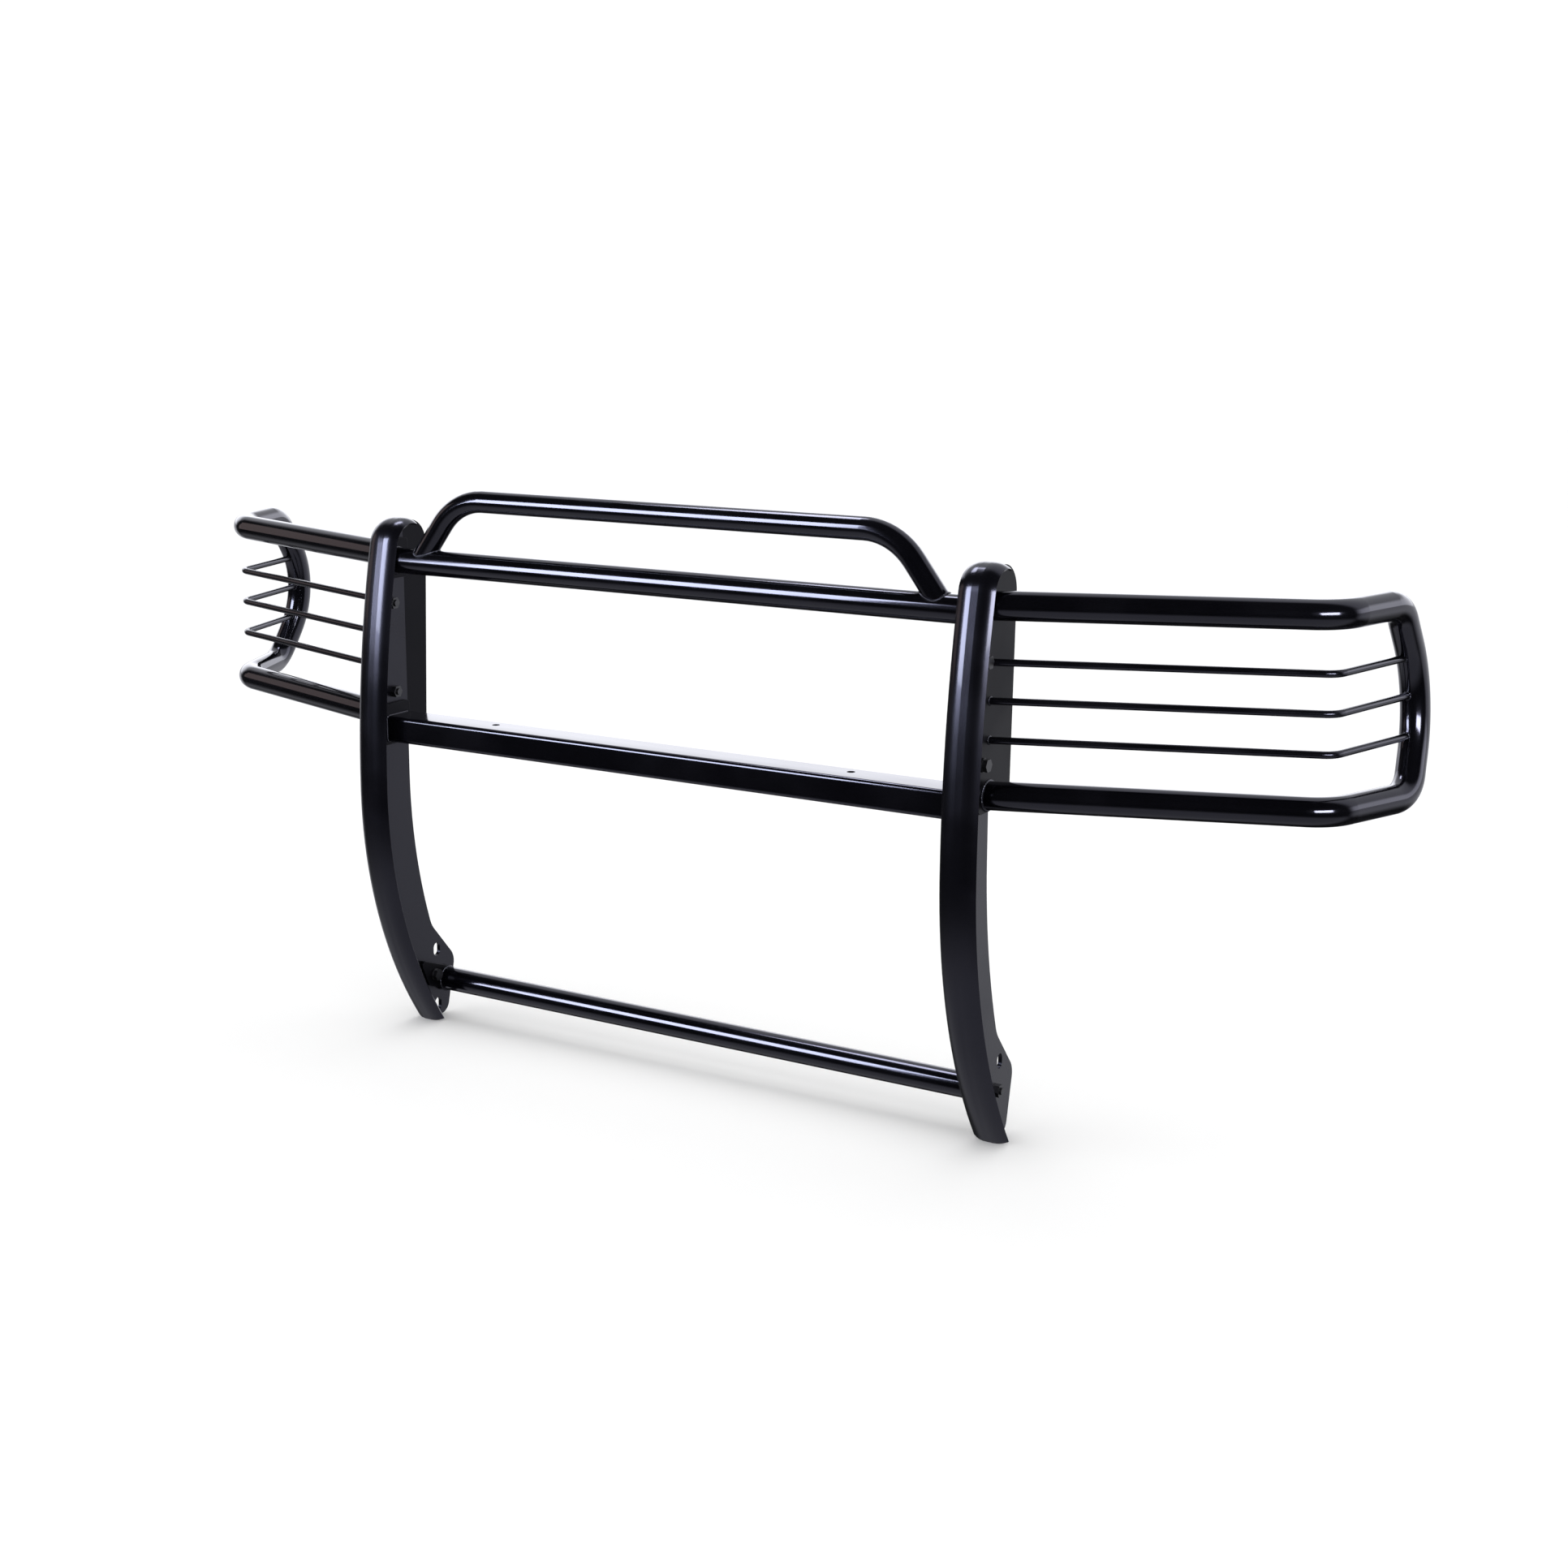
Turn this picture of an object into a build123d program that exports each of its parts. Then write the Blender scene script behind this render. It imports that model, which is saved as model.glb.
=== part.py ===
from build123d import *
from math import asin, atan, cos, degrees, radians, sin, sqrt
import os

# Front grille guard for a pickup or large SUV. Millimetres, +Z up, the front of the guard faces -Y.
# Origin: on the ground under the guard, on its centre plane, midway between front and back.

os.makedirs("parts", exist_ok=True)

# ---- overall stance -------------------------------------------------------------------------
overall_depth = 385.62
front_y = -overall_depth / 2          # foremost line of the two uprights

# ---- uprights: a flat riser plate behind a crowned face strip -------------------------------
riser_x = 482.0                       # centre of the riser plate from the centre plane
riser_t = 6.0
riser_in = riser_x - riser_t / 2
riser_out = riser_x + riser_t / 2
face_t = 3.0
face_flat = 10.0                      # flat middle of the face strip
face_edge_r = 34.0                    # the strip is crowned toward both edges
face_edge_turn = 38.0
waist_z = 385.5                       # height of the foremost point
upper_r = 1750.0                      # gentle lean back above the waist
lower_r = 690.0                       # stronger sweep back below the waist
nose_z = 755.5                        # where the rounded top begins
nose_r = 42.0
nose_overrun = 21.0                   # degrees the strip runs on past the highest point
riser_back = 86.0                     # back edge of the riser behind the foremost line
riser_back_z = 400.5                  # below this the back edge sweeps rearward too
riser_back_r = 780.0
riser_knee_z = 150.5                  # here the back edge breaks out into the foot
foot_lobe = (181.0, 87.5)             # foot outline: distance behind the front line, height
foot_heel = (161.0, 2.0)
foot_knee_r = 45.0
foot_lobe_r = 26.0
foot_heel_r = 18.0
foot_slot_w = 15.0
foot_slot_l = 21.0
foot_slot_y = 138.0
foot_slot_z = (20.0, 109.0)

# ---- crossbars and hoop ---------------------------------------------------------------------
tube_d = 38.1
bar_front_y = front_y + 44.95         # front of the top crossbar, just clear of the face strips
bar_y = bar_front_y + tube_d / 2      # plane of the top crossbar and the hoop
tube_wall = 2.4
hoop_d = 31.75
hoop_wall = 2.0
bottom_d = 36.0
top_bar_z = 727.5
hoop_top_z = top_bar_z + 94.5
hoop_corner_x = 357.0
hoop_lean = 0.75                      # sideways run of the legs for each unit of height
hoop_bend_r = 92.0
bottom_bar_y = front_y + 155.0
bottom_bar_z = 58.5
rail_front = front_y + 31.0           # lower crossbar, a folded channel open to the rear
rail_depth = 50.0
rail_top_z = 498.0
rail_height = 39.0
rail_lip = 28.0
rail_t = 3.0
rail_bend_r = 6.0
lamp_hole_d = 11.0
lamp_hole_x = 295.0

# ---- end tabs that carry the crossbars on the risers ------------------------------------------
tab_t = 6.0
tab_in = riser_in - tab_t
tab_corner = 6.0
top_tab_depth = 44.0
top_tab_height = 58.0
top_tab_shift = (4.0, 2.5)            # behind and above the axis of the top crossbar
rail_tab_depth = rail_depth + 8.0
rail_tab_height = rail_height + 22.0
rail_tab_shift = (-1.0, 6.0)          # behind and above the middle of the channel
foot_tab_front = (90.0, 104.0)        # foot tab corners: distance behind the front line, height
foot_tab_back = (173.0, 72.0)
foot_tab_heel = (173.0, 36.0)
foot_tab_toe = (111.0, 58.0)

# ---- wings ------------------------------------------------------------------------------------
wing_plate_t = 6.0
wing_face = riser_out + wing_plate_t
wing_plate_gap = 3.0                  # inside the face strip's rounded top
wing_plate_back = 146.0
wing_plate_taper = 10.0
wing_plate_bottom = 467.0
wing_plate_corner = 38.0
wing_plate_foot_r = 8.0
wing_start_y = front_y + 72.5
wing_bend = (902.0, front_y + 185.0)
wing_return_top = (938.0, front_y + 308.0)
wing_return_low = (958.0, front_y + 320.0)
wing_bow = 76.0                       # the outer return bulges to the rear, rounded off by wing_bow_r
wing_bow_r = 135.0
wing_bend_r = 60.0
wing_corner_r = 45.0
wing_rise = 0.014                     # the wings climb slightly toward their tips
wing_top_z = 734.5
wing_bottom_z = 488.5
rod_d = 9.5
rod_bend_r = 25.0
rod_heights = {"upper": 662.0, "middle": 612.0, "lower": 561.0}
trim_block = (150.0, 240.0, 460.0)    # everything inside it is cut away flush with the wing plate

# ---- fasteners ----------------------------------------------------------------------------------
bolt_d = 10.0
bolt_hole_d = bolt_d + 1.0
bolt_head_af = 1.6 * bolt_d
bolt_head_t = 0.65 * bolt_d
washer_d = 1.9 * bolt_d
washer_t = 2.0
nut_t = 0.85 * bolt_d
thread_gap = 0.05
bolt_end = 3.0                        # thread showing past the nut
wing_bolt_y = front_y + 56.0
wing_bolt_z = (531.5, 664.5)
foot_bolt_y = front_y + 125.0
foot_bolt_z = 72.5

# ---- derived shape of the upright's front line -----------------------------------------------
upper_turn = degrees(asin((nose_z - waist_z) / upper_r))
lower_turn = degrees(asin(waist_z / lower_r))
nose_centre_y = front_y + upper_r * (1 - cos(radians(upper_turn))) + nose_r * cos(radians(upper_turn))
nose_centre_z = nose_z - nose_r * sin(radians(upper_turn))
nose_turn = 90 - upper_turn + nose_overrun
riser_nose_r = nose_r - face_t
riser_nose_turn = 90 - upper_turn + degrees(asin((front_y + riser_back - nose_centre_y) / riser_nose_r))
riser_foot_turn = degrees(asin((waist_z - foot_heel[1]) / (lower_r - face_t)))

# ---- derived shape of the wing's outer return, an arc that bulges rearward --------------------
wing_middle_z = (wing_top_z + wing_bottom_z) / 2
wing_half_turn = atan(wing_bow / (wing_top_z - wing_middle_z))

sides = (("left", -1), ("right", 1))


def wing_point(sign, along_x, y, z):
    return (sign * along_x, y, z + wing_rise * (along_x - wing_face))


def front_run_start(sign, z):
    # a little inside the wing plate, so that the end can be trimmed flush with it
    slope = (wing_bend[1] - wing_start_y) / (wing_bend[0] - wing_face)
    inset = wing_plate_t
    return wing_point(sign, wing_face - inset, wing_start_y - slope * inset, z)


def return_end(sign, z):
    # where a rod at this height meets the centre line of the outer return
    share = (wing_top_z - z) / (wing_top_z - wing_bottom_z)
    x = wing_return_top[0] + share * (wing_return_low[0] - wing_return_top[0])
    chord_y = wing_return_top[1] + share * (wing_return_low[1] - wing_return_top[1])
    bulge = wing_bow - wing_bow_r / cos(wing_half_turn) + sqrt(wing_bow_r**2 - (z - wing_middle_z) ** 2)
    return wing_point(sign, x, chord_y + bulge, z)


def tube_along(points, radii, outer_r, inner_r):
    with BuildPart() as tube:
        with BuildLine() as path:
            FilletPolyline(*points, radius=radii)
        with BuildSketch(Plane(path.line @ 0, z_dir=path.line % 0)):
            Circle(outer_r)
            if inner_r:
                Circle(inner_r, mode=Mode.SUBTRACT)
        sweep()
    return tube.part


def straight_bar(y, z, outer_d, half_length):
    with BuildPart() as bar:
        with BuildSketch(Plane.YZ.offset(-half_length)):
            with Locations((y, z)):
                Circle(outer_d / 2)
                Circle(outer_d / 2 - tube_wall, mode=Mode.SUBTRACT)
        extrude(amount=2 * half_length)
    return bar.part


# ---- uprights -----------------------------------------------------------------------------------
for side, sign in sides:
    # Face strip: crowned steel strip, rolled over at both edges, bowed forward at the waist and
    # rounded over the top of the riser.
    with BuildPart() as face:
        with BuildLine(Plane.YZ.offset(sign * riser_x)) as down:
            JernArc((front_y, waist_z), (0, -1), lower_r, lower_turn)
        with BuildLine(Plane.YZ.offset(sign * riser_x)) as up:
            JernArc((front_y, waist_z), (0, 1), upper_r, -upper_turn)
            JernArc(
                (front_y + upper_r * (1 - cos(radians(upper_turn))), nose_z),
                (sin(radians(upper_turn)), cos(radians(upper_turn))),
                nose_r,
                -nose_turn,
            )
        with BuildSketch(Plane.XY.offset(waist_z)) as section:
            with BuildLine():
                x0 = sign * riser_x - face_flat / 2
                x1 = sign * riser_x + face_flat / 2
                Line((x0, front_y), (x1, front_y))
                right_edge = JernArc((x1, front_y), (1, 0), face_edge_r, face_edge_turn)
                left_edge = JernArc((x0, front_y), (-1, 0), face_edge_r, -face_edge_turn)
                Line((x0, front_y + face_t), (x1, front_y + face_t))
                right_in = JernArc((x1, front_y + face_t), (1, 0), face_edge_r - face_t, face_edge_turn)
                left_in = JernArc((x0, front_y + face_t), (-1, 0), face_edge_r - face_t, -face_edge_turn)
                Line(right_edge @ 1, right_in @ 1)
                Line(left_edge @ 1, left_in @ 1)
            make_face()
        sweep(sections=section.sketch, path=down.line)
        sweep(sections=section.sketch, path=up.line)
    face.part.label = f"{side}_face_strip"
    export_step(face.part, f"parts/{side}_face_strip.step")

    # Riser: flat plate welded behind the middle of the face strip, swelling into the foot that
    # bolts to the vehicle's frame bracket through two upright slots.
    with BuildPart() as riser:
        with BuildSketch(Plane.YZ.offset(sign * riser_x - riser_t / 2)):
            with BuildLine():
                front = front_y + face_t
                low = JernArc((front, waist_z), (0, -1), lower_r - face_t, riser_foot_turn)
                high = JernArc((front, waist_z), (0, 1), upper_r - face_t, -upper_turn)
                nose = JernArc(high @ 1, high % 1, riser_nose_r, -riser_nose_turn)
                back_sweep = JernArc(
                    (front_y + riser_back, riser_back_z),
                    (0, -1),
                    riser_back_r,
                    degrees(asin((riser_back_z - riser_knee_z) / riser_back_r)),
                )
                Line(nose @ 1, back_sweep @ 0)
                Polyline(
                    back_sweep @ 1,
                    (front_y + foot_lobe[0], foot_lobe[1]),
                    (front_y + foot_heel[0], foot_heel[1]),
                    low @ 1,
                )
            make_face()
        extrude(amount=riser_t)
        knee_at = (sign * riser_x, (back_sweep @ 1).X, riser_knee_z)
        lobe_at = (sign * riser_x, front_y + foot_lobe[0], foot_lobe[1])
        heel_at = (sign * riser_x, front_y + foot_heel[0], foot_heel[1])
        fillet(riser.edges().filter_by(Axis.X).sort_by_distance(knee_at)[0:1], radius=foot_knee_r)
        fillet(riser.edges().filter_by(Axis.X).sort_by_distance(lobe_at)[0:1], radius=foot_lobe_r)
        fillet(riser.edges().filter_by(Axis.X).sort_by_distance(heel_at)[0:1], radius=foot_heel_r)
        with BuildSketch(Plane.YZ.offset(sign * riser_x - riser_t / 2)):
            with Locations(*[(front_y + foot_slot_y, z) for z in foot_slot_z]):
                SlotOverall(foot_slot_l, foot_slot_w, rotation=90)
            with Locations(*[(wing_bolt_y, z) for z in wing_bolt_z]):
                Circle(bolt_hole_d / 2)
            with Locations((foot_bolt_y, foot_bolt_z)):
                Circle(bolt_hole_d / 2)
        extrude(amount=riser_t, mode=Mode.SUBTRACT)
    riser.part.label = f"{side}_riser_plate"
    export_step(riser.part, f"parts/{side}_riser_plate.step")

    # End tabs of the top crossbar and of the lower channel: small flat pads against the riser.
    tab_plane = Plane.YZ.offset(sign * (riser_in - tab_t / 2) - tab_t / 2)
    with BuildPart() as top_tab:
        with BuildSketch(tab_plane):
            with Locations((bar_y + top_tab_shift[0], top_bar_z + top_tab_shift[1])):
                RectangleRounded(top_tab_depth, top_tab_height, tab_corner)
        extrude(amount=tab_t)
    top_tab.part.label = f"{side}_top_tab"
    export_step(top_tab.part, f"parts/{side}_top_tab.step")

    with BuildPart() as rail_tab:
        with BuildSketch(tab_plane):
            rail_middle = (rail_front + rail_depth / 2, rail_top_z - rail_height / 2)
            with Locations((rail_middle[0] + rail_tab_shift[0], rail_middle[1] + rail_tab_shift[1])):
                RectangleRounded(rail_tab_depth, rail_tab_height, tab_corner)
        extrude(amount=tab_t)
    rail_tab.part.label = f"{side}_rail_tab"
    export_step(rail_tab.part, f"parts/{side}_rail_tab.step")

    # Foot tab: carries the bottom tube and bolts to the riser between the two foot slots.
    with BuildPart() as foot_tab:
        with BuildSketch(tab_plane):
            with BuildLine():
                Polyline(
                    (front_y + foot_tab_front[0], foot_tab_front[1]),
                    (front_y + foot_tab_back[0], foot_tab_back[1]),
                    (front_y + foot_tab_heel[0], foot_tab_heel[1]),
                    (front_y + foot_tab_toe[0], foot_tab_toe[1]),
                    close=True,
                )
            make_face()
            with Locations((foot_bolt_y, foot_bolt_z)):
                Circle(bolt_hole_d / 2, mode=Mode.SUBTRACT)
        extrude(amount=tab_t)
        fillet(foot_tab.edges().filter_by(Axis.X).filter_by(GeomType.LINE), radius=tab_corner)
    foot_tab.part.label = f"{side}_foot_tab"
    export_step(foot_tab.part, f"parts/{side}_foot_tab.step")

# ---- centre frame ---------------------------------------------------------------------------------
with BuildPart() as top_crossbar:
    add(straight_bar(bar_y, top_bar_z, tube_d, tab_in))
top_crossbar.part.label = "top_crossbar"
export_step(top_crossbar.part, "parts/top_crossbar.step")

with BuildPart() as bottom_crossbar:
    add(straight_bar(bottom_bar_y, bottom_bar_z, bottom_d, tab_in))
bottom_crossbar.part.label = "bottom_crossbar"
export_step(bottom_crossbar.part, "parts/bottom_crossbar.step")

# Hoop: smaller tube bent over the top crossbar, its legs cut to fit the round top of the bar.
hoop_foot_x = hoop_corner_x + hoop_lean * (hoop_top_z - top_bar_z)
with BuildPart() as hoop:
    add(
        tube_along(
            [
                (-hoop_foot_x, bar_y, top_bar_z),
                (-hoop_corner_x, bar_y, hoop_top_z),
                (hoop_corner_x, bar_y, hoop_top_z),
                (hoop_foot_x, bar_y, top_bar_z),
            ],
            hoop_bend_r,
            hoop_d / 2,
            hoop_d / 2 - hoop_wall,
        )
    )
    with BuildSketch(Plane.YZ.offset(-riser_in)):
        with Locations((bar_y, top_bar_z)):
            Circle(tube_d / 2)
    extrude(amount=2 * riser_in, mode=Mode.SUBTRACT)
hoop.part.label = "hoop"
export_step(hoop.part, "parts/hoop.step")

# Lower crossbar: folded channel, wide flat top with two holes for driving lamps.
with BuildPart() as lower_crossbar:
    with BuildSketch(Plane.YZ.offset(-tab_in)):
        with BuildLine():
            FilletPolyline(
                (rail_front + rail_depth, rail_top_z),
                (rail_front, rail_top_z),
                (rail_front, rail_top_z - rail_height),
                (rail_front + rail_lip, rail_top_z - rail_height),
                radius=rail_bend_r,
            )
            FilletPolyline(
                (rail_front + rail_depth, rail_top_z - rail_t),
                (rail_front + rail_t, rail_top_z - rail_t),
                (rail_front + rail_t, rail_top_z - rail_height + rail_t),
                (rail_front + rail_lip, rail_top_z - rail_height + rail_t),
                radius=rail_bend_r - rail_t,
            )
            Line((rail_front + rail_depth, rail_top_z), (rail_front + rail_depth, rail_top_z - rail_t))
            Line(
                (rail_front + rail_lip, rail_top_z - rail_height),
                (rail_front + rail_lip, rail_top_z - rail_height + rail_t),
            )
        make_face()
    extrude(amount=2 * tab_in)
    with BuildSketch(Plane.XY.offset(rail_top_z)):
        with Locations((-lamp_hole_x, bar_y), (lamp_hole_x, bar_y)):
            Circle(lamp_hole_d / 2)
    extrude(amount=-rail_t, mode=Mode.SUBTRACT)
lower_crossbar.part.label = "lower_crossbar"
export_step(lower_crossbar.part, "parts/lower_crossbar.step")

# ---- wings ------------------------------------------------------------------------------------------
for side, sign in sides:
    # Wing plate: flat bar bolted to the outer face of the riser, its top following the rounded top.
    with BuildPart() as wing_plate:
        with BuildSketch(Plane.YZ.offset(sign * (riser_out + wing_plate_t / 2) - wing_plate_t / 2)):
            with BuildLine():
                plate_nose_r = riser_nose_r - wing_plate_gap
                plate_front = nose_centre_y - plate_nose_r
                plate_top = nose_centre_z + plate_nose_r
                plate_back = front_y + wing_plate_back
                low_back = (plate_back - wing_plate_taper, wing_plate_bottom)
                nose = JernArc((plate_front, nose_centre_z), (0, 1), plate_nose_r, -90)
                shoulder = JernArc((plate_back - wing_plate_corner, plate_top), (1, 0), wing_plate_corner, -90)
                Line(nose @ 1, shoulder @ 0)
                Polyline(shoulder @ 1, low_back, (plate_front, wing_plate_bottom), nose @ 0)
            make_face()
            with Locations(*[(wing_bolt_y, z) for z in wing_bolt_z]):
                Circle(bolt_hole_d / 2, mode=Mode.SUBTRACT)
        extrude(amount=wing_plate_t)
        fillet(wing_plate.edges().filter_by(Axis.X).group_by(Axis.Z)[0], radius=wing_plate_foot_r)
    wing_plate.part.label = f"{side}_wing_plate"
    export_step(wing_plate.part, f"parts/{side}_wing_plate.step")

    # Wing tube: one tube bent around the headlamp, from the plate out, back, down and in again.
    return_middle = (
        (wing_return_top[0] + wing_return_low[0]) / 2,
        (wing_return_top[1] + wing_return_low[1]) / 2,
    )
    wing_points = [
        front_run_start(sign, wing_top_z),
        wing_point(sign, wing_bend[0], wing_bend[1], wing_top_z),
        wing_point(sign, *wing_return_top, wing_top_z),
        wing_point(sign, return_middle[0], return_middle[1] + wing_bow, wing_middle_z),
        wing_point(sign, *wing_return_low, wing_bottom_z),
        wing_point(sign, wing_bend[0], wing_bend[1], wing_bottom_z),
        front_run_start(sign, wing_bottom_z),
    ]
    wing_radii = [wing_bend_r, wing_corner_r, wing_bow_r, wing_corner_r, wing_bend_r]
    wing_core = tube_along(wing_points, wing_radii, tube_d / 2, 0)
    with BuildPart() as wing_tube:
        add(tube_along(wing_points, wing_radii, tube_d / 2, tube_d / 2 - tube_wall))
        with Locations((sign * (wing_face - trim_block[0] / 2), bar_y, wing_middle_z)):
            Box(*trim_block, mode=Mode.SUBTRACT)
    wing_tube.part.label = f"{side}_wing_tube"
    export_step(wing_tube.part, f"parts/{side}_wing_tube.step")

    # Rods: three thin bars bent like the tube, welded to the plate and to the outer return.
    for level, rod_z in rod_heights.items():
        with BuildPart() as rod:
            add(
                tube_along(
                    [
                        front_run_start(sign, rod_z),
                        wing_point(sign, wing_bend[0], wing_bend[1], rod_z),
                        return_end(sign, rod_z),
                    ],
                    rod_bend_r,
                    rod_d / 2,
                    0,
                )
            )
            add(wing_core, mode=Mode.SUBTRACT)
            with Locations((sign * (wing_face - trim_block[0] / 2), bar_y, wing_middle_z)):
                Box(*trim_block, mode=Mode.SUBTRACT)
        rod.part.label = f"{side}_{level}_rod"
        export_step(rod.part, f"parts/{side}_{level}_rod.step")

# ---- fasteners -------------------------------------------------------------------------------------
# Every bolt lies along X. Each site gives the side, the way the head faces, the face under the
# washer, the face under the nut, and the bolt's height and depth.
fastener_sites = {
    "wing": [(sign, sign, wing_face, riser_in, wing_bolt_y, z) for _, sign in sides for z in wing_bolt_z],
    "foot": [(sign, -sign, tab_in, riser_out, foot_bolt_y, foot_bolt_z) for _, sign in sides],
}

for place, sites in fastener_sites.items():
    with BuildPart() as bolts:
        for sign, out, seat_x, nut_x, y, z in sites:
            under_head = sign * seat_x + out * washer_t
            tip = sign * nut_x - out * (nut_t + bolt_end)
            with BuildSketch(Plane.YZ.offset(under_head)):
                with Locations((y, z)):
                    RegularPolygon(bolt_head_af / 2, 6, major_radius=False)
            extrude(amount=out * bolt_head_t)
            with BuildSketch(Plane.YZ.offset(tip)):
                with Locations((y, z)):
                    Circle(bolt_d / 2)
            extrude(amount=under_head - tip)
    bolts.part.label = f"{place}_bolts"
    export_step(bolts.part, f"parts/{place}_bolts.step")

    with BuildPart() as washers:
        for sign, out, seat_x, nut_x, y, z in sites:
            with BuildSketch(Plane.YZ.offset(sign * seat_x)):
                with Locations((y, z)):
                    Circle(washer_d / 2)
                    Circle(bolt_hole_d / 2, mode=Mode.SUBTRACT)
            extrude(amount=out * washer_t)
    washers.part.label = f"{place}_washers"
    export_step(washers.part, f"parts/{place}_washers.step")

    with BuildPart() as nuts:
        for sign, out, seat_x, nut_x, y, z in sites:
            with BuildSketch(Plane.YZ.offset(sign * nut_x)):
                with Locations((y, z)):
                    RegularPolygon(bolt_head_af / 2, 6, major_radius=False)
                    Circle(bolt_d / 2 + thread_gap, mode=Mode.SUBTRACT)
            extrude(amount=-out * nut_t)
    nuts.part.label = f"{place}_nuts"
    export_step(nuts.part, f"parts/{place}_nuts.step")
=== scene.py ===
from math import atan, cos, pi, radians, sin, sqrt

import bmesh
import bpy
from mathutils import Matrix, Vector


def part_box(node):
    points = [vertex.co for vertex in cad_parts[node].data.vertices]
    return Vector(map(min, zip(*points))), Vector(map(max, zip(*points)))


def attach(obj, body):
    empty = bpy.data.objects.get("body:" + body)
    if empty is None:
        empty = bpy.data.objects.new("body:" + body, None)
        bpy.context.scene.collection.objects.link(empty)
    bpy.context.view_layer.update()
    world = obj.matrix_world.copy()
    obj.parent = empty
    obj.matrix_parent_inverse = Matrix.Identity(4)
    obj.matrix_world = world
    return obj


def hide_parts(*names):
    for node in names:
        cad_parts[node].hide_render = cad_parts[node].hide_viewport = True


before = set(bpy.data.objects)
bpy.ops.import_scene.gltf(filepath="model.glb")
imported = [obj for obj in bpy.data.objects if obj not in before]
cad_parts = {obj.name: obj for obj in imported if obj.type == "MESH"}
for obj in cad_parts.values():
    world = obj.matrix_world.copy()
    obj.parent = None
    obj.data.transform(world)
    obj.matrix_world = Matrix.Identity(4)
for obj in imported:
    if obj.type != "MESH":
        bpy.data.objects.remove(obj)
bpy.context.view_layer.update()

# ---- Face strips ---------------------------------------------------------------------------------
# Each upright wears a crowned steel strip with both edges rolled over. It is pressed from 3 mm
# sheet, bent over the round top of the upright, and powder coated gloss black in one bath.
SIDES = {"left": -1, "right": 1}
COAT_IOR = 1.5
COAT_REFLECTION = (0.76, 0.75, 1.0, 1)   # the cool cast of light off this black
CLEAR_SKIN_ROUGHNESS = 0.04
PEEL_DEPTH = 0.0002


def powder_texture():
    # orange peel of a baked powder coat: a fine pebble height and a slow mask of thinner patches
    group = bpy.data.node_groups.new("powder coat texture", "ShaderNodeTree")
    interface = group.interface
    for name, value in (("Pebbles per Metre", 900.0), ("Patches per Metre", 9.0), ("Flow", 0.35)):
        socket = interface.new_socket(name, in_out="INPUT", socket_type="NodeSocketFloat")
        socket.default_value = value
    for name in ("Height", "Patch"):
        interface.new_socket(name, in_out="OUTPUT", socket_type="NodeSocketFloat")
    nodes, links = group.nodes, group.links
    given, result = nodes.new("NodeGroupInput"), nodes.new("NodeGroupOutput")
    place = nodes.new("ShaderNodeTexCoord")
    pebbles = nodes.new("ShaderNodeTexNoise")
    pebbles.inputs["Detail"].default_value = 1.5
    pebbles.inputs["Roughness"].default_value = 0.45
    flow = nodes.new("ShaderNodeTexNoise")
    flow.inputs["Scale"].default_value = 140.0
    patches = nodes.new("ShaderNodeTexNoise")
    patches.inputs["Detail"].default_value = 3.0
    blend = nodes.new("ShaderNodeMix")
    ramp = nodes.new("ShaderNodeMapRange")
    ramp.interpolation_type = "SMOOTHSTEP"
    ramp.inputs["From Min"].default_value = 0.35
    ramp.inputs["From Max"].default_value = 0.68
    for noise in (pebbles, flow, patches):
        links.new(place.outputs["Object"], noise.inputs["Vector"])
    links.new(given.outputs["Pebbles per Metre"], pebbles.inputs["Scale"])
    links.new(given.outputs["Patches per Metre"], patches.inputs["Scale"])
    links.new(given.outputs["Flow"], blend.inputs["Factor"])
    links.new(pebbles.outputs["Fac"], blend.inputs["A"])
    links.new(flow.outputs["Fac"], blend.inputs["B"])
    links.new(blend.outputs["Result"], result.inputs["Height"])
    links.new(patches.outputs["Fac"], ramp.inputs["Value"])
    links.new(ramp.outputs["Result"], result.inputs["Patch"])
    return group


POWDER = powder_texture()


def powder_coat(name, dark, light, smooth, rough, peel, pebbles, clear_skin, specular=0.5):
    # gloss black coat: colour and gloss drift between two values, the skin carries a fine peel
    material = bpy.data.materials.new(name)
    material.use_nodes = True
    nodes, links = material.node_tree.nodes, material.node_tree.links
    shader = nodes["Principled BSDF"]
    shader.inputs["IOR"].default_value = COAT_IOR
    shader.inputs["Specular IOR Level"].default_value = specular
    shader.inputs["Specular Tint"].default_value = COAT_REFLECTION
    shader.inputs["Coat Weight"].default_value = clear_skin
    shader.inputs["Coat Roughness"].default_value = CLEAR_SKIN_ROUGHNESS
    texture = nodes.new("ShaderNodeGroup")
    texture.node_tree = POWDER
    texture.inputs["Pebbles per Metre"].default_value = pebbles
    tint = nodes.new("ShaderNodeMix")
    tint.data_type = "RGBA"
    tint.inputs["A"].default_value = (*dark, 1)
    tint.inputs["B"].default_value = (*light, 1)
    gloss = nodes.new("ShaderNodeMapRange")
    gloss.inputs["To Min"].default_value = smooth
    gloss.inputs["To Max"].default_value = rough
    bump = nodes.new("ShaderNodeBump")
    bump.inputs["Strength"].default_value = peel
    bump.inputs["Distance"].default_value = PEEL_DEPTH
    links.new(texture.outputs["Patch"], tint.inputs["Factor"])
    links.new(texture.outputs["Patch"], gloss.inputs["Value"])
    links.new(texture.outputs["Height"], bump.inputs["Height"])
    links.new(tint.outputs["Result"], shader.inputs["Base Color"])
    links.new(gloss.outputs["Result"], shader.inputs["Roughness"])
    links.new(bump.outputs["Normal"], shader.inputs["Normal"])
    return material


def coated(node, material):
    # the steel part as it is, under its finish
    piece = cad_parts[node]
    piece.data.materials.clear()
    piece.data.materials.append(material)


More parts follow.
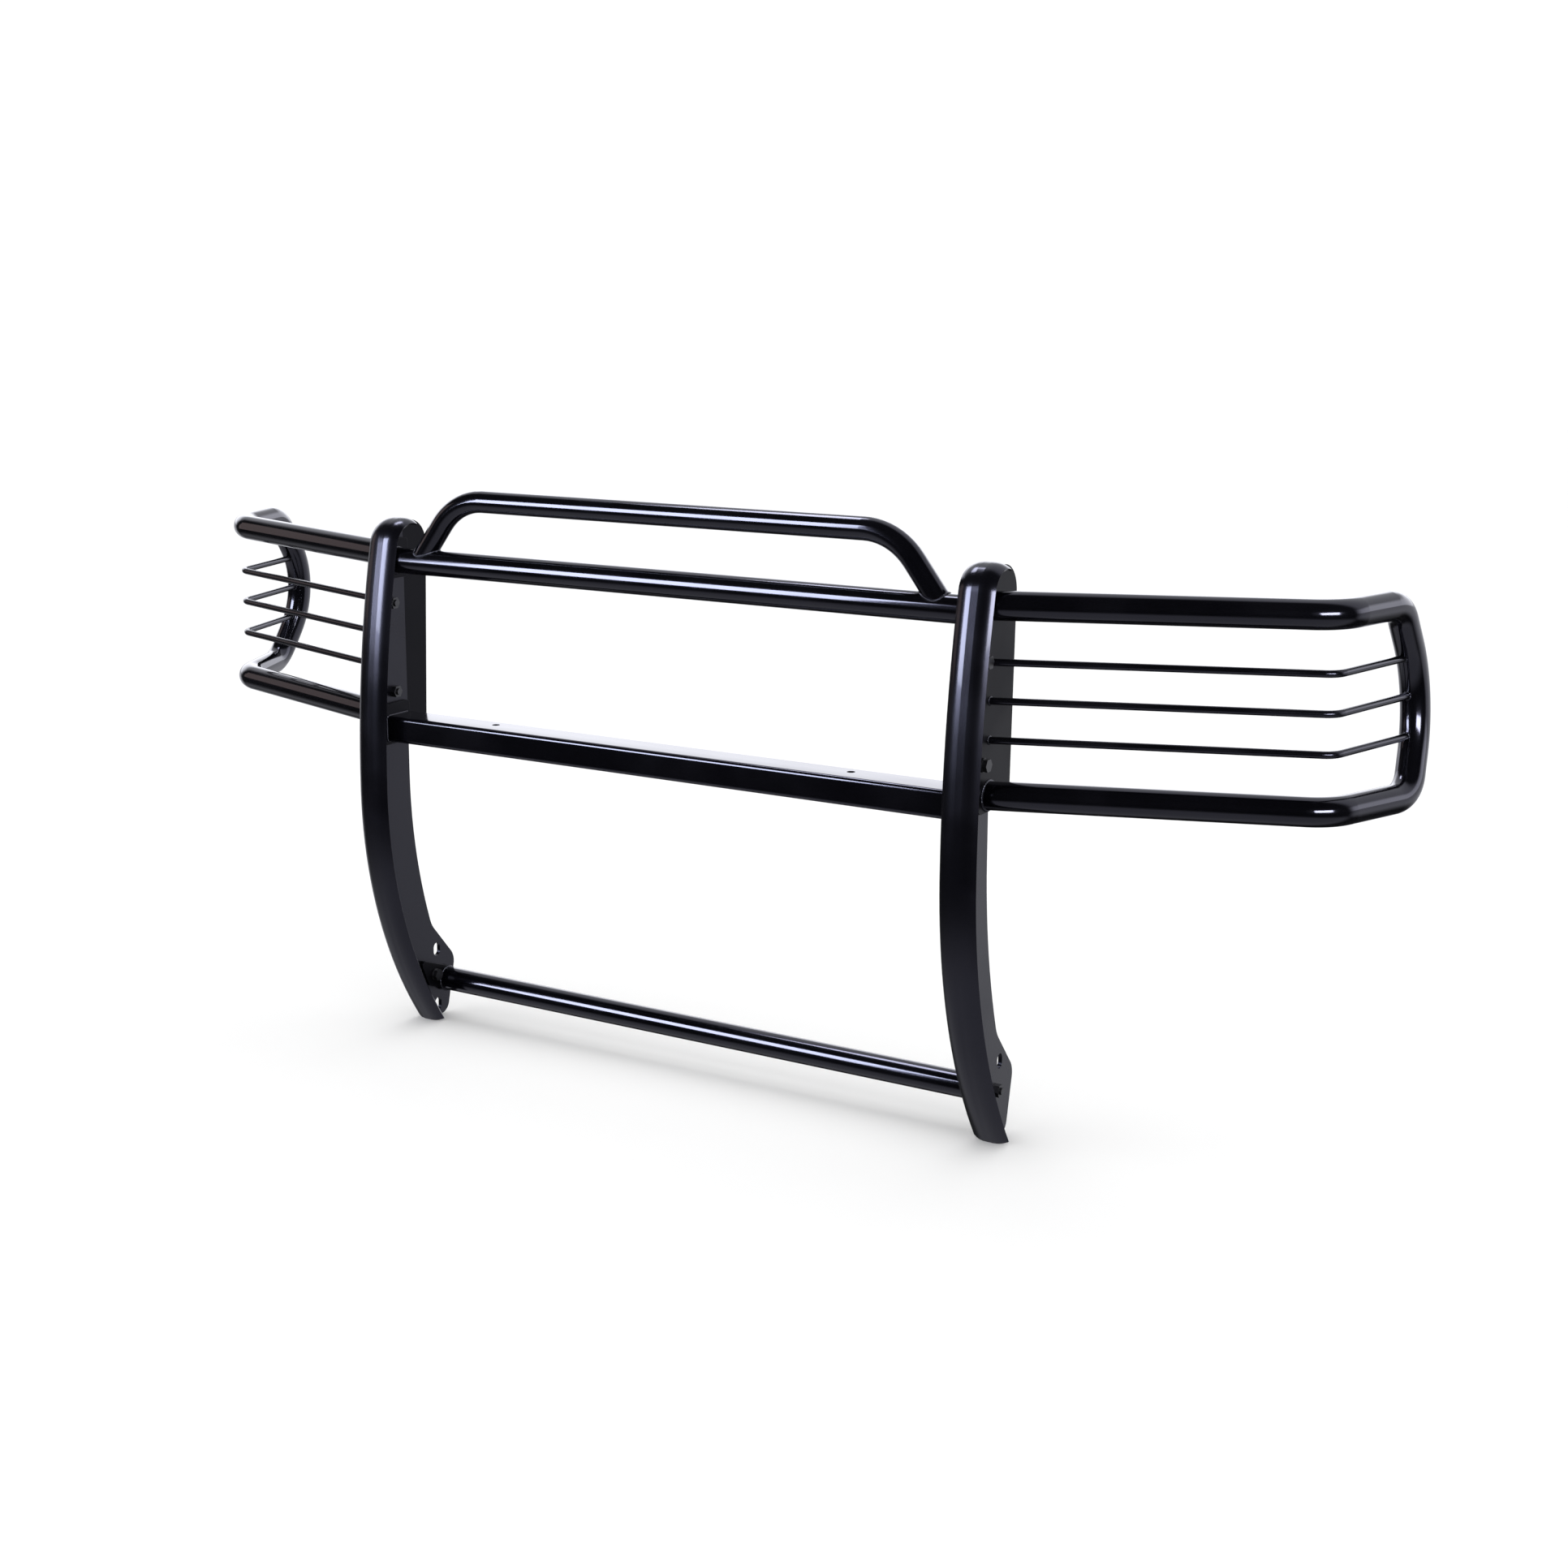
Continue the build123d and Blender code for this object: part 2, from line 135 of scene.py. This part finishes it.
STRIP_COAT = powder_coat(
    "strip coat", dark=(0.0010, 0.0010, 0.0018), light=(0.0022, 0.0022, 0.0036),
    smooth=0.20, rough=0.26, peel=0.06, pebbles=800.0, clear_skin=0.15,
)
for side in SIDES:
    coated(f"{side}_face_strip", STRIP_COAT)

# ---- Riser plates --------------------------------------------------------------------------------
# The web of each upright: 6 mm plate, laser cut, welded behind the middle of the face strip and
# drilled and slotted before coating. Its foot bolts to the vehicle.
SAME_POINT = 1e-6
FLAT_WITHIN = radians(0.5)
SHARP_EDGE = radians(35)
PLATE_EDGE = 0.0006


def placed(name, data):
    # a new object at the origin, in the scene
    thing = bpy.data.objects.new(name, data)
    bpy.context.scene.collection.objects.link(thing)
    return thing


def softened(node, material, edge):
    # the same plate with its cut edges broken by a small radius, as blasting and powder leave them
    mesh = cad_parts[node].data.copy()
    mesh.name = node + "_coated"
    work = bmesh.new()
    work.from_mesh(mesh)
    bmesh.ops.remove_doubles(work, verts=work.verts, dist=SAME_POINT)
    bmesh.ops.dissolve_limit(
        work, angle_limit=FLAT_WITHIN, verts=work.verts, edges=work.edges, delimit=set()
    )
    work.to_mesh(mesh)
    work.free()
    if "custom_normal" in mesh.attributes:
        mesh.attributes.remove(mesh.attributes["custom_normal"])
    mesh.materials.clear()
    mesh.materials.append(material)
    mesh.shade_smooth()
    piece = placed(node + "_coated", mesh)
    round_over = piece.modifiers.new("broken edges", "BEVEL")
    round_over.width = edge
    round_over.segments = 2
    round_over.limit_method = "ANGLE"
    round_over.angle_limit = SHARP_EDGE
    round_over.use_clamp_overlap = True
    round_over.harden_normals = True
    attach(piece, "root")
    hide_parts(node)


PLATE_COAT = powder_coat(
    "plate coat", dark=(0.0015, 0.0015, 0.0024), light=(0.0034, 0.0034, 0.0050),
    smooth=0.24, rough=0.34, peel=0.10, pebbles=650.0, clear_skin=0.10, specular=0.32,
)
for side in SIDES:
    softened(f"{side}_riser_plate", PLATE_COAT, PLATE_EDGE)

# ---- Wing plates and end tabs --------------------------------------------------------------------
# Flat bar bolted outside each riser to carry the wing, and the small plates inside each riser that
# the crossbars are welded to. All are cut from flat stock and coated like the risers.
# Painted shade: the coat below is the risers' powder coat made darker and almost without
# reflection, so that the wing plates and tabs read black.
SHADED_TAB_COAT = powder_coat(
    "shaded tab coat", dark=(0.0008, 0.0008, 0.0010), light=(0.0020, 0.0020, 0.0025),
    smooth=0.34, rough=0.46, peel=0.16, pebbles=650.0, clear_skin=0.0, specular=0.10,
)
for side in SIDES:
    for piece in ("wing_plate", "top_tab", "rail_tab", "foot_tab"):
        softened(f"{side}_{piece}", SHADED_TAB_COAT, PLATE_EDGE)

# ---- Lower crossbar ------------------------------------------------------------------------------
# A channel folded from 3 mm sheet, open at the back. Its flat top is the shelf for driving lamps,
# and is drilled with a hole for each of them.
SHELF_EDGE = 0.0005
SHELF_COAT = powder_coat(
    "shelf coat", dark=(0.0010, 0.0010, 0.0018), light=(0.0022, 0.0022, 0.0034),
    smooth=0.11, rough=0.17, peel=0.08, pebbles=800.0, clear_skin=0.3,
)
softened("lower_crossbar", SHELF_COAT, SHELF_EDGE)

# ---- Crossbars, hoop and wing tubes --------------------------------------------------------------
# Round welded steel tube, mandrel bent where it turns. The drawn skin is smoother than plate, so
# the coat lies glassier on it and throws long thin highlights.
TUBE_COAT = powder_coat(
    "tube coat", dark=(0.0008, 0.0008, 0.0014), light=(0.0018, 0.0018, 0.0028),
    smooth=0.10, rough=0.15, peel=0.04, pebbles=800.0, clear_skin=0.3,
)
for node in ("top_crossbar", "bottom_crossbar", "hoop", "left_wing_tube", "right_wing_tube"):
    coated(node, TUBE_COAT)

# ---- Wing rods -----------------------------------------------------------------------------------
# Three solid round bars across each headlamp. They are bent once, like the tube they follow, and
# welded to the wing plate at one end and to the tube's outer return at the other.
ROD_COAT = powder_coat(
    "rod coat", dark=(0.0008, 0.0008, 0.0012), light=(0.0018, 0.0018, 0.0024),
    smooth=0.16, rough=0.24, peel=0.08, pebbles=900.0, clear_skin=0.1,
)
for side in SIDES:
    for level in ("upper", "middle", "lower"):
        coated(f"{side}_{level}_rod", ROD_COAT)

# ---- Bolts, washers and nuts ---------------------------------------------------------------------
# Standard hexagon bolts with flat washers and nuts, black zinc plated. They are fitted after the
# guard is coated: two through each wing plate and riser, and one through each foot.
ZINC_DARK = (0.035, 0.035, 0.038, 1)
ZINC_LIGHT = (0.10, 0.10, 0.105, 1)
ZINC_GRAIN = (220.0, 900.0, 900.0)    # grains per metre, drawn out along the bolt


def black_zinc():
    # dark plated metal with a fine lengthwise grain
    material = bpy.data.materials.new("black zinc")
    material.use_nodes = True
    nodes, links = material.node_tree.nodes, material.node_tree.links
    shader = nodes["Principled BSDF"]
    shader.inputs["Metallic"].default_value = 1.0
    place = nodes.new("ShaderNodeTexCoord")
    stretch = nodes.new("ShaderNodeMapping")
    stretch.inputs["Scale"].default_value = ZINC_GRAIN
    grain = nodes.new("ShaderNodeTexNoise")
    grain.inputs["Scale"].default_value = 1.0
    grain.inputs["Detail"].default_value = 4.0
    tint = nodes.new("ShaderNodeMix")
    tint.data_type = "RGBA"
    tint.inputs["A"].default_value = ZINC_DARK
    tint.inputs["B"].default_value = ZINC_LIGHT
    gloss = nodes.new("ShaderNodeMapRange")
    gloss.inputs["To Min"].default_value = 0.28
    gloss.inputs["To Max"].default_value = 0.46
    bump = nodes.new("ShaderNodeBump")
    bump.inputs["Strength"].default_value = 0.2
    bump.inputs["Distance"].default_value = 0.0001
    links.new(place.outputs["Object"], stretch.inputs["Vector"])
    links.new(stretch.outputs["Vector"], grain.inputs["Vector"])
    links.new(grain.outputs["Fac"], tint.inputs["Factor"])
    links.new(grain.outputs["Fac"], gloss.inputs["Value"])
    links.new(grain.outputs["Fac"], bump.inputs["Height"])
    links.new(tint.outputs["Result"], shader.inputs["Base Color"])
    links.new(gloss.outputs["Result"], shader.inputs["Roughness"])
    links.new(bump.outputs["Normal"], shader.inputs["Normal"])
    return material


ZINC = black_zinc()
for joint in ("wing", "foot"):
    for kind in ("bolts", "washers", "nuts"):
        coated(f"{joint}_{kind}", ZINC)

# ---- Welds of the crossbars ----------------------------------------------------------------------
# Every tube, rod and tab is arc welded where it lands, and the rippled bead is coated over with
# the rest. Both round crossbars butt on their end tabs, with a bead all the way round.
RIPPLE_DEPTH = 0.16                   # share of the bead's radius
RIPPLE_PER_RADIUS = 1.5
STEPS_PER_RIPPLE = 5.0
BEAD_SIDES = 8
RING_STEPS = 48
BAR_BEAD = 0.0021


def bead_tree():
    # a round bead swept along a joint line, its radius rising and falling once each ripple
    tree = bpy.data.node_groups.new("rippled weld bead", "GeometryNodeTree")
    interface = tree.interface
    interface.new_socket("Geometry", in_out="INPUT", socket_type="NodeSocketGeometry")
    for name in ("Bead Radius", "Ripple Pitch", "Ripple Depth"):
        interface.new_socket(name, in_out="INPUT", socket_type="NodeSocketFloat")
    interface.new_socket("Coat", in_out="INPUT", socket_type="NodeSocketMaterial")
    interface.new_socket("Geometry", in_out="OUTPUT", socket_type="NodeSocketGeometry")
    nodes, links = tree.nodes, tree.links
    given, result = nodes.new("NodeGroupInput"), nodes.new("NodeGroupOutput")
    to_curve = nodes.new("GeometryNodeMeshToCurve")
    step = nodes.new("ShaderNodeMath")
    step.operation = "DIVIDE"
    step.inputs[1].default_value = STEPS_PER_RIPPLE
    resample = nodes.new("GeometryNodeResampleCurve")
    resample.mode = "LENGTH"
    along = nodes.new("GeometryNodeSplineParameter")
    turns = nodes.new("ShaderNodeMath")
    turns.operation = "DIVIDE"
    phase = nodes.new("ShaderNodeMath")
    phase.operation = "MULTIPLY"
    phase.inputs[1].default_value = 2 * pi
    wave = nodes.new("ShaderNodeMath")
    wave.operation = "SINE"
    swell = nodes.new("ShaderNodeMath")
    swell.operation = "MULTIPLY_ADD"
    swell.inputs[2].default_value = 1.0
    section = nodes.new("GeometryNodeCurvePrimitiveCircle")
    section.inputs["Resolution"].default_value = BEAD_SIDES
    sweep = nodes.new("GeometryNodeCurveToMesh")
    sweep.inputs["Fill Caps"].default_value = True
    smooth = nodes.new("GeometryNodeSetShadeSmooth")
    realize = nodes.new("GeometryNodeRealizeInstances")
    paint = nodes.new("GeometryNodeSetMaterial")
    links.new(given.outputs["Geometry"], to_curve.inputs["Mesh"])
    links.new(to_curve.outputs["Curve"], resample.inputs["Curve"])
    links.new(given.outputs["Ripple Pitch"], step.inputs[0])
    links.new(step.outputs[0], resample.inputs["Length"])
    links.new(along.outputs["Length"], turns.inputs[0])
    links.new(given.outputs["Ripple Pitch"], turns.inputs[1])
    links.new(turns.outputs[0], phase.inputs[0])
    links.new(phase.outputs[0], wave.inputs[0])
    links.new(wave.outputs[0], swell.inputs[0])
    links.new(given.outputs["Ripple Depth"], swell.inputs[1])
    links.new(given.outputs["Bead Radius"], section.inputs["Radius"])
    links.new(resample.outputs["Curve"], sweep.inputs["Curve"])
    links.new(section.outputs["Curve"], sweep.inputs["Profile Curve"])
    links.new(swell.outputs[0], sweep.inputs["Scale"])
    links.new(sweep.outputs["Mesh"], smooth.inputs["Geometry"])
    links.new(smooth.outputs["Geometry"], realize.inputs["Geometry"])
    links.new(realize.outputs["Geometry"], paint.inputs["Geometry"])
    links.new(given.outputs["Coat"], paint.inputs["Material"])
    links.new(paint.outputs["Geometry"], result.inputs["Geometry"])
    return tree


BEAD = bead_tree()
WELD_COAT = powder_coat(
    "weld coat", dark=(0.0012, 0.0012, 0.0018), light=(0.0026, 0.0026, 0.0036),
    smooth=0.16, rough=0.26, peel=0.2, pebbles=1100.0, clear_skin=0.3,
)


def weld(name, joints, bead_radius):
    # joints: list of (points, closed) in metres; gives one mesh with a bead along each joint
    points, edges = [], []
    for line, closed in joints:
        first = len(points)
        points += line
        edges += [(first + i, first + i + 1) for i in range(len(line) - 1)]
        if closed:
            edges.append((len(points) - 1, first))
    mesh = bpy.data.meshes.new(name + "_line")
    mesh.from_pydata(points, edges, [])
    carrier = placed(name + "_line", mesh)
    modifier = carrier.modifiers.new("bead", "NODES")
    modifier.node_group = BEAD
    sockets = {s.name: s.identifier for s in BEAD.interface.items_tree if s.in_out == "INPUT"}
    modifier[sockets["Bead Radius"]] = bead_radius
    modifier[sockets["Ripple Pitch"]] = RIPPLE_PER_RADIUS * bead_radius
    modifier[sockets["Ripple Depth"]] = RIPPLE_DEPTH
    modifier[sockets["Coat"]] = WELD_COAT
    evaluated = carrier.evaluated_get(bpy.context.evaluated_depsgraph_get())
    bead = placed(name, bpy.data.meshes.new_from_object(evaluated))
    bpy.data.objects.remove(carrier)
    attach(bead, "root")


def ring_on_plate(axis_point, run, radius, plate_x, steps=RING_STEPS):
    # the joint line where a round tube that runs along `run` meets an upright plate at plate_x
    run = Vector(run).normalized()
    side = run.cross(Vector((0, 0, 1))).normalized()
    up = side.cross(run)
    line = []
    for i in range(steps):
        turn = 2 * pi * i / steps
        point = Vector(axis_point) + radius * (cos(turn) * side + sin(turn) * up)
        line.append(point + run * ((plate_x - point.x) / run.x))
    return line, True


for node in ("top_crossbar", "bottom_crossbar"):
    low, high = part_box(node)
    centre = (low + high) / 2
    bar_radius = (high.z - low.z) / 2
    rings = [ring_on_plate(centre, (1, 0, 0), bar_radius, x) for x in (low.x, high.x)]
    weld(node + "_welds", rings, BAR_BEAD)

# ---- Welds of the lower crossbar -----------------------------------------------------------------
# The channel's top, front and lower lip are welded to its end tabs, in one run round the outside
# of the folds.
SHELF_BEAD = 0.0017
SHELF_RUN = 0.046                     # how far back the bead goes along the top
LIP_RUN = 0.026                       # and along the lower lip
FOLD_R = 0.005
FOLD_MIDDLE = 0.0015                  # how far the middle of a fold stays inside its corner
low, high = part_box("lower_crossbar")
channel_line = [
    (low.y + SHELF_RUN, high.z),
    (low.y + FOLD_R, high.z),
    (low.y + FOLD_MIDDLE, high.z - FOLD_MIDDLE),
    (low.y, high.z - FOLD_R),
    (low.y, low.z + FOLD_R),
    (low.y + FOLD_MIDDLE, low.z + FOLD_MIDDLE),
    (low.y + FOLD_R, low.z),
    (low.y + LIP_RUN, low.z),
]
channel_ends = [([(x, y, z) for y, z in channel_line], False) for x in (low.x, high.x)]
weld("lower_crossbar_welds", channel_ends, SHELF_BEAD)

# ---- Welds of the hoop ---------------------------------------------------------------------------
# Each leg of the hoop is coped to sit on the round of the top crossbar, and welded all the way
# round the saddle that the cope makes.
HOOP_BEAD = 0.0019
HOOP_R = 0.031750 / 2
HOOP_LEAN = 0.75                      # sideways run of a leg for each unit of height
HOOP_CORNER_X = 0.357
bar_low, bar_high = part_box("top_crossbar")
bar_axis = (bar_low + bar_high) / 2
bar_radius = (bar_high.z - bar_low.z) / 2
hoop_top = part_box("hoop")[1].z - HOOP_R
saddles = []
for sign in SIDES.values():
    leg = Vector((sign * HOOP_LEAN, 0, -1)).normalized()
    fore_aft = Vector((0, 1, 0))
    across = fore_aft.cross(leg)
    corner = Vector((sign * HOOP_CORNER_X, bar_axis.y, hoop_top))
    saddle = []
    for i in range(RING_STEPS):
        turn = 2 * pi * i / RING_STEPS
        point = corner + HOOP_R * (cos(turn) * across + sin(turn) * fore_aft)
        landing = bar_axis.z + sqrt(bar_radius**2 - (point.y - bar_axis.y) ** 2)
        saddle.append(point + leg * ((landing - point.z) / leg.z))
    saddles.append((saddle, True))
weld("hoop_welds", saddles, HOOP_BEAD)

# ---- Welds of the wings --------------------------------------------------------------------------
# The two runs of each wing tube and its three rods land on the wing plate's outer face. The rods'
# other ends land on the inside of the tube's outer return, which bulges to the rear.
WING_BEAD = 0.0021
ROD_BEAD = 0.0014
WING_R = 0.0381 / 2
ROD_R = 0.0095 / 2
ROD_RING_STEPS = 20
ROD_HEIGHTS = (0.662, 0.612, 0.561)
WING_ROOT_Y = 0.0725                  # these depths are from the front of the face strips
WING_RUN = (0.411, 0.1125, 0.0058)    # from the plate to the front bend
WING_TOP_Z = 0.7345
WING_LOW_Z = 0.4885
WING_MIDDLE_Z = (WING_TOP_Z + WING_LOW_Z) / 2
BEND_X, BEND_Y = 0.902, 0.185
RETURN_X, RETURN_Y = 0.938, 0.308     # top of the outer return; its foot leans out and back
RETURN_LEAN_X, RETURN_LEAN_Y = 0.020, 0.012
BOW, BOW_R = 0.076, 0.135             # how far the return bulges to the rear, and its radius
BOW_TURN = atan(BOW / (WING_TOP_Z - WING_MIDDLE_Z))
ROD_RISE = 0.014                      # climb of a rod for each unit outwards
CLEAR_OF_TUBE = 0.0006
front_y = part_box("left_face_strip")[0].y
root_y = front_y + WING_ROOT_Y
for side, sign in SIDES.items():
    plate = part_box(f"{side}_wing_plate")
    face_x = plate[1].x if sign > 0 else plate[0].x
    run = (sign * WING_RUN[0], WING_RUN[1], WING_RUN[2])
    rings = [
        ring_on_plate((face_x, root_y, z), run, WING_R, face_x) for z in (WING_TOP_Z, WING_LOW_Z)
    ]
    weld(f"{side}_wing_welds", rings, WING_BEAD)
    rings = [
        ring_on_plate((face_x, root_y, z), run, ROD_R, face_x, ROD_RING_STEPS) for z in ROD_HEIGHTS
    ]
    for z in ROD_HEIGHTS:
        share = (WING_TOP_Z - z) / (WING_TOP_Z - WING_LOW_Z)
        bulge = BOW - BOW_R / cos(BOW_TURN) + sqrt(BOW_R**2 - (z - WING_MIDDLE_Z) ** 2)
        reach = RETURN_X + share * RETURN_LEAN_X
        landing = Vector((
            sign * reach,
            front_y + RETURN_Y + share * RETURN_LEAN_Y + bulge,
            z + ROD_RISE * (reach - abs(face_x)),
        ))
        bend = Vector((
            sign * BEND_X,
            front_y + BEND_Y,
            z + ROD_RISE * (BEND_X - abs(face_x)),
        ))
        inward = (landing - bend).normalized()
        across = inward.cross(Vector((0, 0, 1))).normalized()
        up = inward.cross(across)
        centre = landing - inward * (WING_R + CLEAR_OF_TUBE)
        turns = [2 * pi * i / ROD_RING_STEPS for i in range(ROD_RING_STEPS)]
        rings.append(([centre + ROD_R * (cos(a) * across + sin(a) * up) for a in turns], True))
    weld(f"{side}_rod_welds", rings, ROD_BEAD)

# ---- Floor ---------------------------------------------------------------------------------------
# A plain pale floor without gloss. It isn't mirrored in the coat, because the paper in the mirror
# light of the next section stands in for it there.
FLOOR_HALF = 14
floor_mesh = bpy.data.meshes.new("floor")
floor_mesh.from_pydata(
    [(x * FLOOR_HALF, y * FLOOR_HALF, 0) for x, y in ((-1, -1), (1, -1), (1, 1), (-1, 1))],
    [], [(0, 1, 2, 3)],
)
floor = placed("floor", floor_mesh)
floor_paint = bpy.data.materials.new("pale floor")
floor_paint.use_nodes = True
floor_shader = floor_paint.node_tree.nodes["Principled BSDF"]
floor_shader.inputs["Base Color"].default_value = (0.9, 0.9, 0.9, 1)
floor_shader.inputs["Roughness"].default_value = 0.9
floor_shader.inputs["Specular IOR Level"].default_value = 0.0
floor_mesh.materials.append(floor_paint)
floor.visible_glossy = False

# ---- Room light ----------------------------------------------------------------------------------
# White light from all round. What the gloss sees is set apart from it: a bright backdrop low
# behind, white paper underfoot, and a dark room in front and above.
BACKDROP_LEVEL = 2.4
PAPER_BEHIND_LEVEL = 0.85
PAPER_BELOW_LEVEL = 0.45
DARK_ROOM_LEVEL = 0.03
FILL_LEVEL = 1.14
PAGE_LEVEL = 1.1                      # the plain white that fills the rest of the view
world = bpy.data.worlds.new("studio")
bpy.context.scene.world = world
world.use_nodes = True
sky, sky_links = world.node_tree.nodes, world.node_tree.links
sky.clear()


def way_ramp(source, start, end):
    # 0 to 1 as one part of the ray's direction goes from start to end
    ramp = sky.new("ShaderNodeMapRange")
    ramp.interpolation_type = "SMOOTHSTEP"
    ramp.inputs["From Min"].default_value = start
    ramp.inputs["From Max"].default_value = end
    sky_links.new(source, ramp.inputs["Value"])
    return ramp.outputs["Result"]


def combined(operation, first, second):
    # one Math node on two values, each a number or another node's output
    node = sky.new("ShaderNodeMath")
    node.operation = operation
    for socket, value in zip(node.inputs, (first, second)):
        if isinstance(value, float):
            socket.default_value = value
        else:
            sky_links.new(value, socket)
    return node.outputs[0]


def times(first, second):
    return combined("MULTIPLY", first, second)


def plain_light(level, colour=(1, 1, 1, 1)):
    light = sky.new("ShaderNodeBackground")
    light.inputs["Color"].default_value = colour
    light.inputs["Strength"].default_value = level
    return light


view_way = sky.new("ShaderNodeTexCoord")
way = sky.new("ShaderNodeSeparateXYZ")
sky_links.new(view_way.outputs["Generated"], way.inputs["Vector"])
way_y, way_z = way.outputs["Y"], way.outputs["Z"]
rear = way_ramp(way_y, 0.05, 0.35)
backdrop = times(times(rear, way_ramp(way_z, 0.55, 0.30)), way_ramp(way_z, 0.0, 0.08))
paper_behind = times(rear, way_ramp(way_z, -0.60, -0.25))
paper_below = times(way_ramp(way_z, -0.30, -0.62), way_ramp(way_y, 0.35, 0.0))
paper = combined(
    "MAXIMUM", times(paper_behind, PAPER_BEHIND_LEVEL), times(paper_below, PAPER_BELOW_LEVEL)
)
mirror_level = combined("MAXIMUM", times(backdrop, BACKDROP_LEVEL), paper)
mirror_light = plain_light(1.0, (0.93, 0.94, 1.0, 1))
sky_links.new(combined("ADD", mirror_level, DARK_ROOM_LEVEL), mirror_light.inputs["Strength"])
room_light = plain_light(FILL_LEVEL)
page_light = plain_light(PAGE_LEVEL)
ray = sky.new("ShaderNodeLightPath")
pick_mirror = sky.new("ShaderNodeMixShader")
pick_page = sky.new("ShaderNodeMixShader")
world_out = sky.new("ShaderNodeOutputWorld")
sky_links.new(ray.outputs["Is Glossy Ray"], pick_mirror.inputs["Fac"])
sky_links.new(room_light.outputs["Background"], pick_mirror.inputs[1])
sky_links.new(mirror_light.outputs["Background"], pick_mirror.inputs[2])
sky_links.new(ray.outputs["Is Camera Ray"], pick_page.inputs["Fac"])
sky_links.new(pick_mirror.outputs["Shader"], pick_page.inputs[1])
sky_links.new(page_light.outputs["Background"], pick_page.inputs[2])
sky_links.new(pick_page.outputs["Shader"], world_out.inputs["Surface"])

# ---- Soft boxes ----------------------------------------------------------------------------------
# Four soft boxes that draw the highlights on the coat, and a dim overhead one that only lights the
# floor, so that the guard casts a faint shadow on it.


def soft_box(name, place, aim, width, height, brightness, colour):
    # brightness is what its face gives in each direction, so a bigger box lights more
    lamp = bpy.data.lights.new(name, "AREA")
    lamp.shape = "RECTANGLE"
    lamp.size = width
    lamp.size_y = height
    lamp.energy = brightness * pi * width * height
    lamp.color = colour
    box = placed(name, lamp)
    box.location = place
    box.rotation_euler = (Vector(place) - Vector(aim)).to_track_quat("Z", "Y").to_euler()
    box.visible_camera = False
    box.visible_diffuse = False
    return box


soft_box(
    "front left box", place=(-2.05, -3.0, 1.7), aim=(-2.05, 0.0, 1.7),
    width=1.6, height=1.7, brightness=22.0, colour=(0.82, 0.88, 1.0),
)
soft_box(
    "right box", place=(3.1, -2.2, 1.5), aim=(0.8, -0.1, 0.6),
    width=1.9, height=0.8, brightness=26.0, colour=(0.92, 0.95, 1.0),
)
soft_box(
    "top box", place=(-1.2, 0.55, 3.3), aim=(0.2, -0.1, 0.8),
    width=1.0, height=0.6, brightness=12.0, colour=(0.84, 0.86, 1.0),
)
soft_box(
    "left card", place=(-3.3, -0.9, 1.3), aim=(-0.7, -0.1, 0.6),
    width=1.2, height=1.4, brightness=0.6, colour=(1.0, 0.80, 0.74),
)
overhead = soft_box(
    "overhead box", place=(0.0, 0.5, 3.5), aim=(0.0, 0.0, 0.0),
    width=4.0, height=4.0, brightness=0.35, colour=(1.0, 1.0, 1.0),
)
overhead.visible_glossy = False
overhead.visible_diffuse = True

# ---- Camera --------------------------------------------------------------------------------------
# A short telephoto in front of the right-hand end, a little above the guard and looking slightly
# down. The shift frames the guard without turning the camera.
CAMERA_AZIMUTH = radians(31.37)
CAMERA_ELEVATION = radians(11.12)
camera_data = bpy.data.cameras.new("camera")
camera_data.sensor_width = 36.0
camera_data.lens = 51.75
camera_data.shift_x = 0.0186
camera_data.shift_y = -0.0508
camera_data.clip_end = 60.0
camera = placed("camera", camera_data)
camera.location = (1.699, -2.6758, 1.160)
look_back = Vector((
    sin(CAMERA_AZIMUTH) * cos(CAMERA_ELEVATION),
    -cos(CAMERA_AZIMUTH) * cos(CAMERA_ELEVATION),
    sin(CAMERA_ELEVATION),
))
camera.rotation_euler = look_back.to_track_quat("Z", "Y").to_euler()
bpy.context.scene.camera = camera
bpy.context.scene.view_settings.view_transform = "Standard"
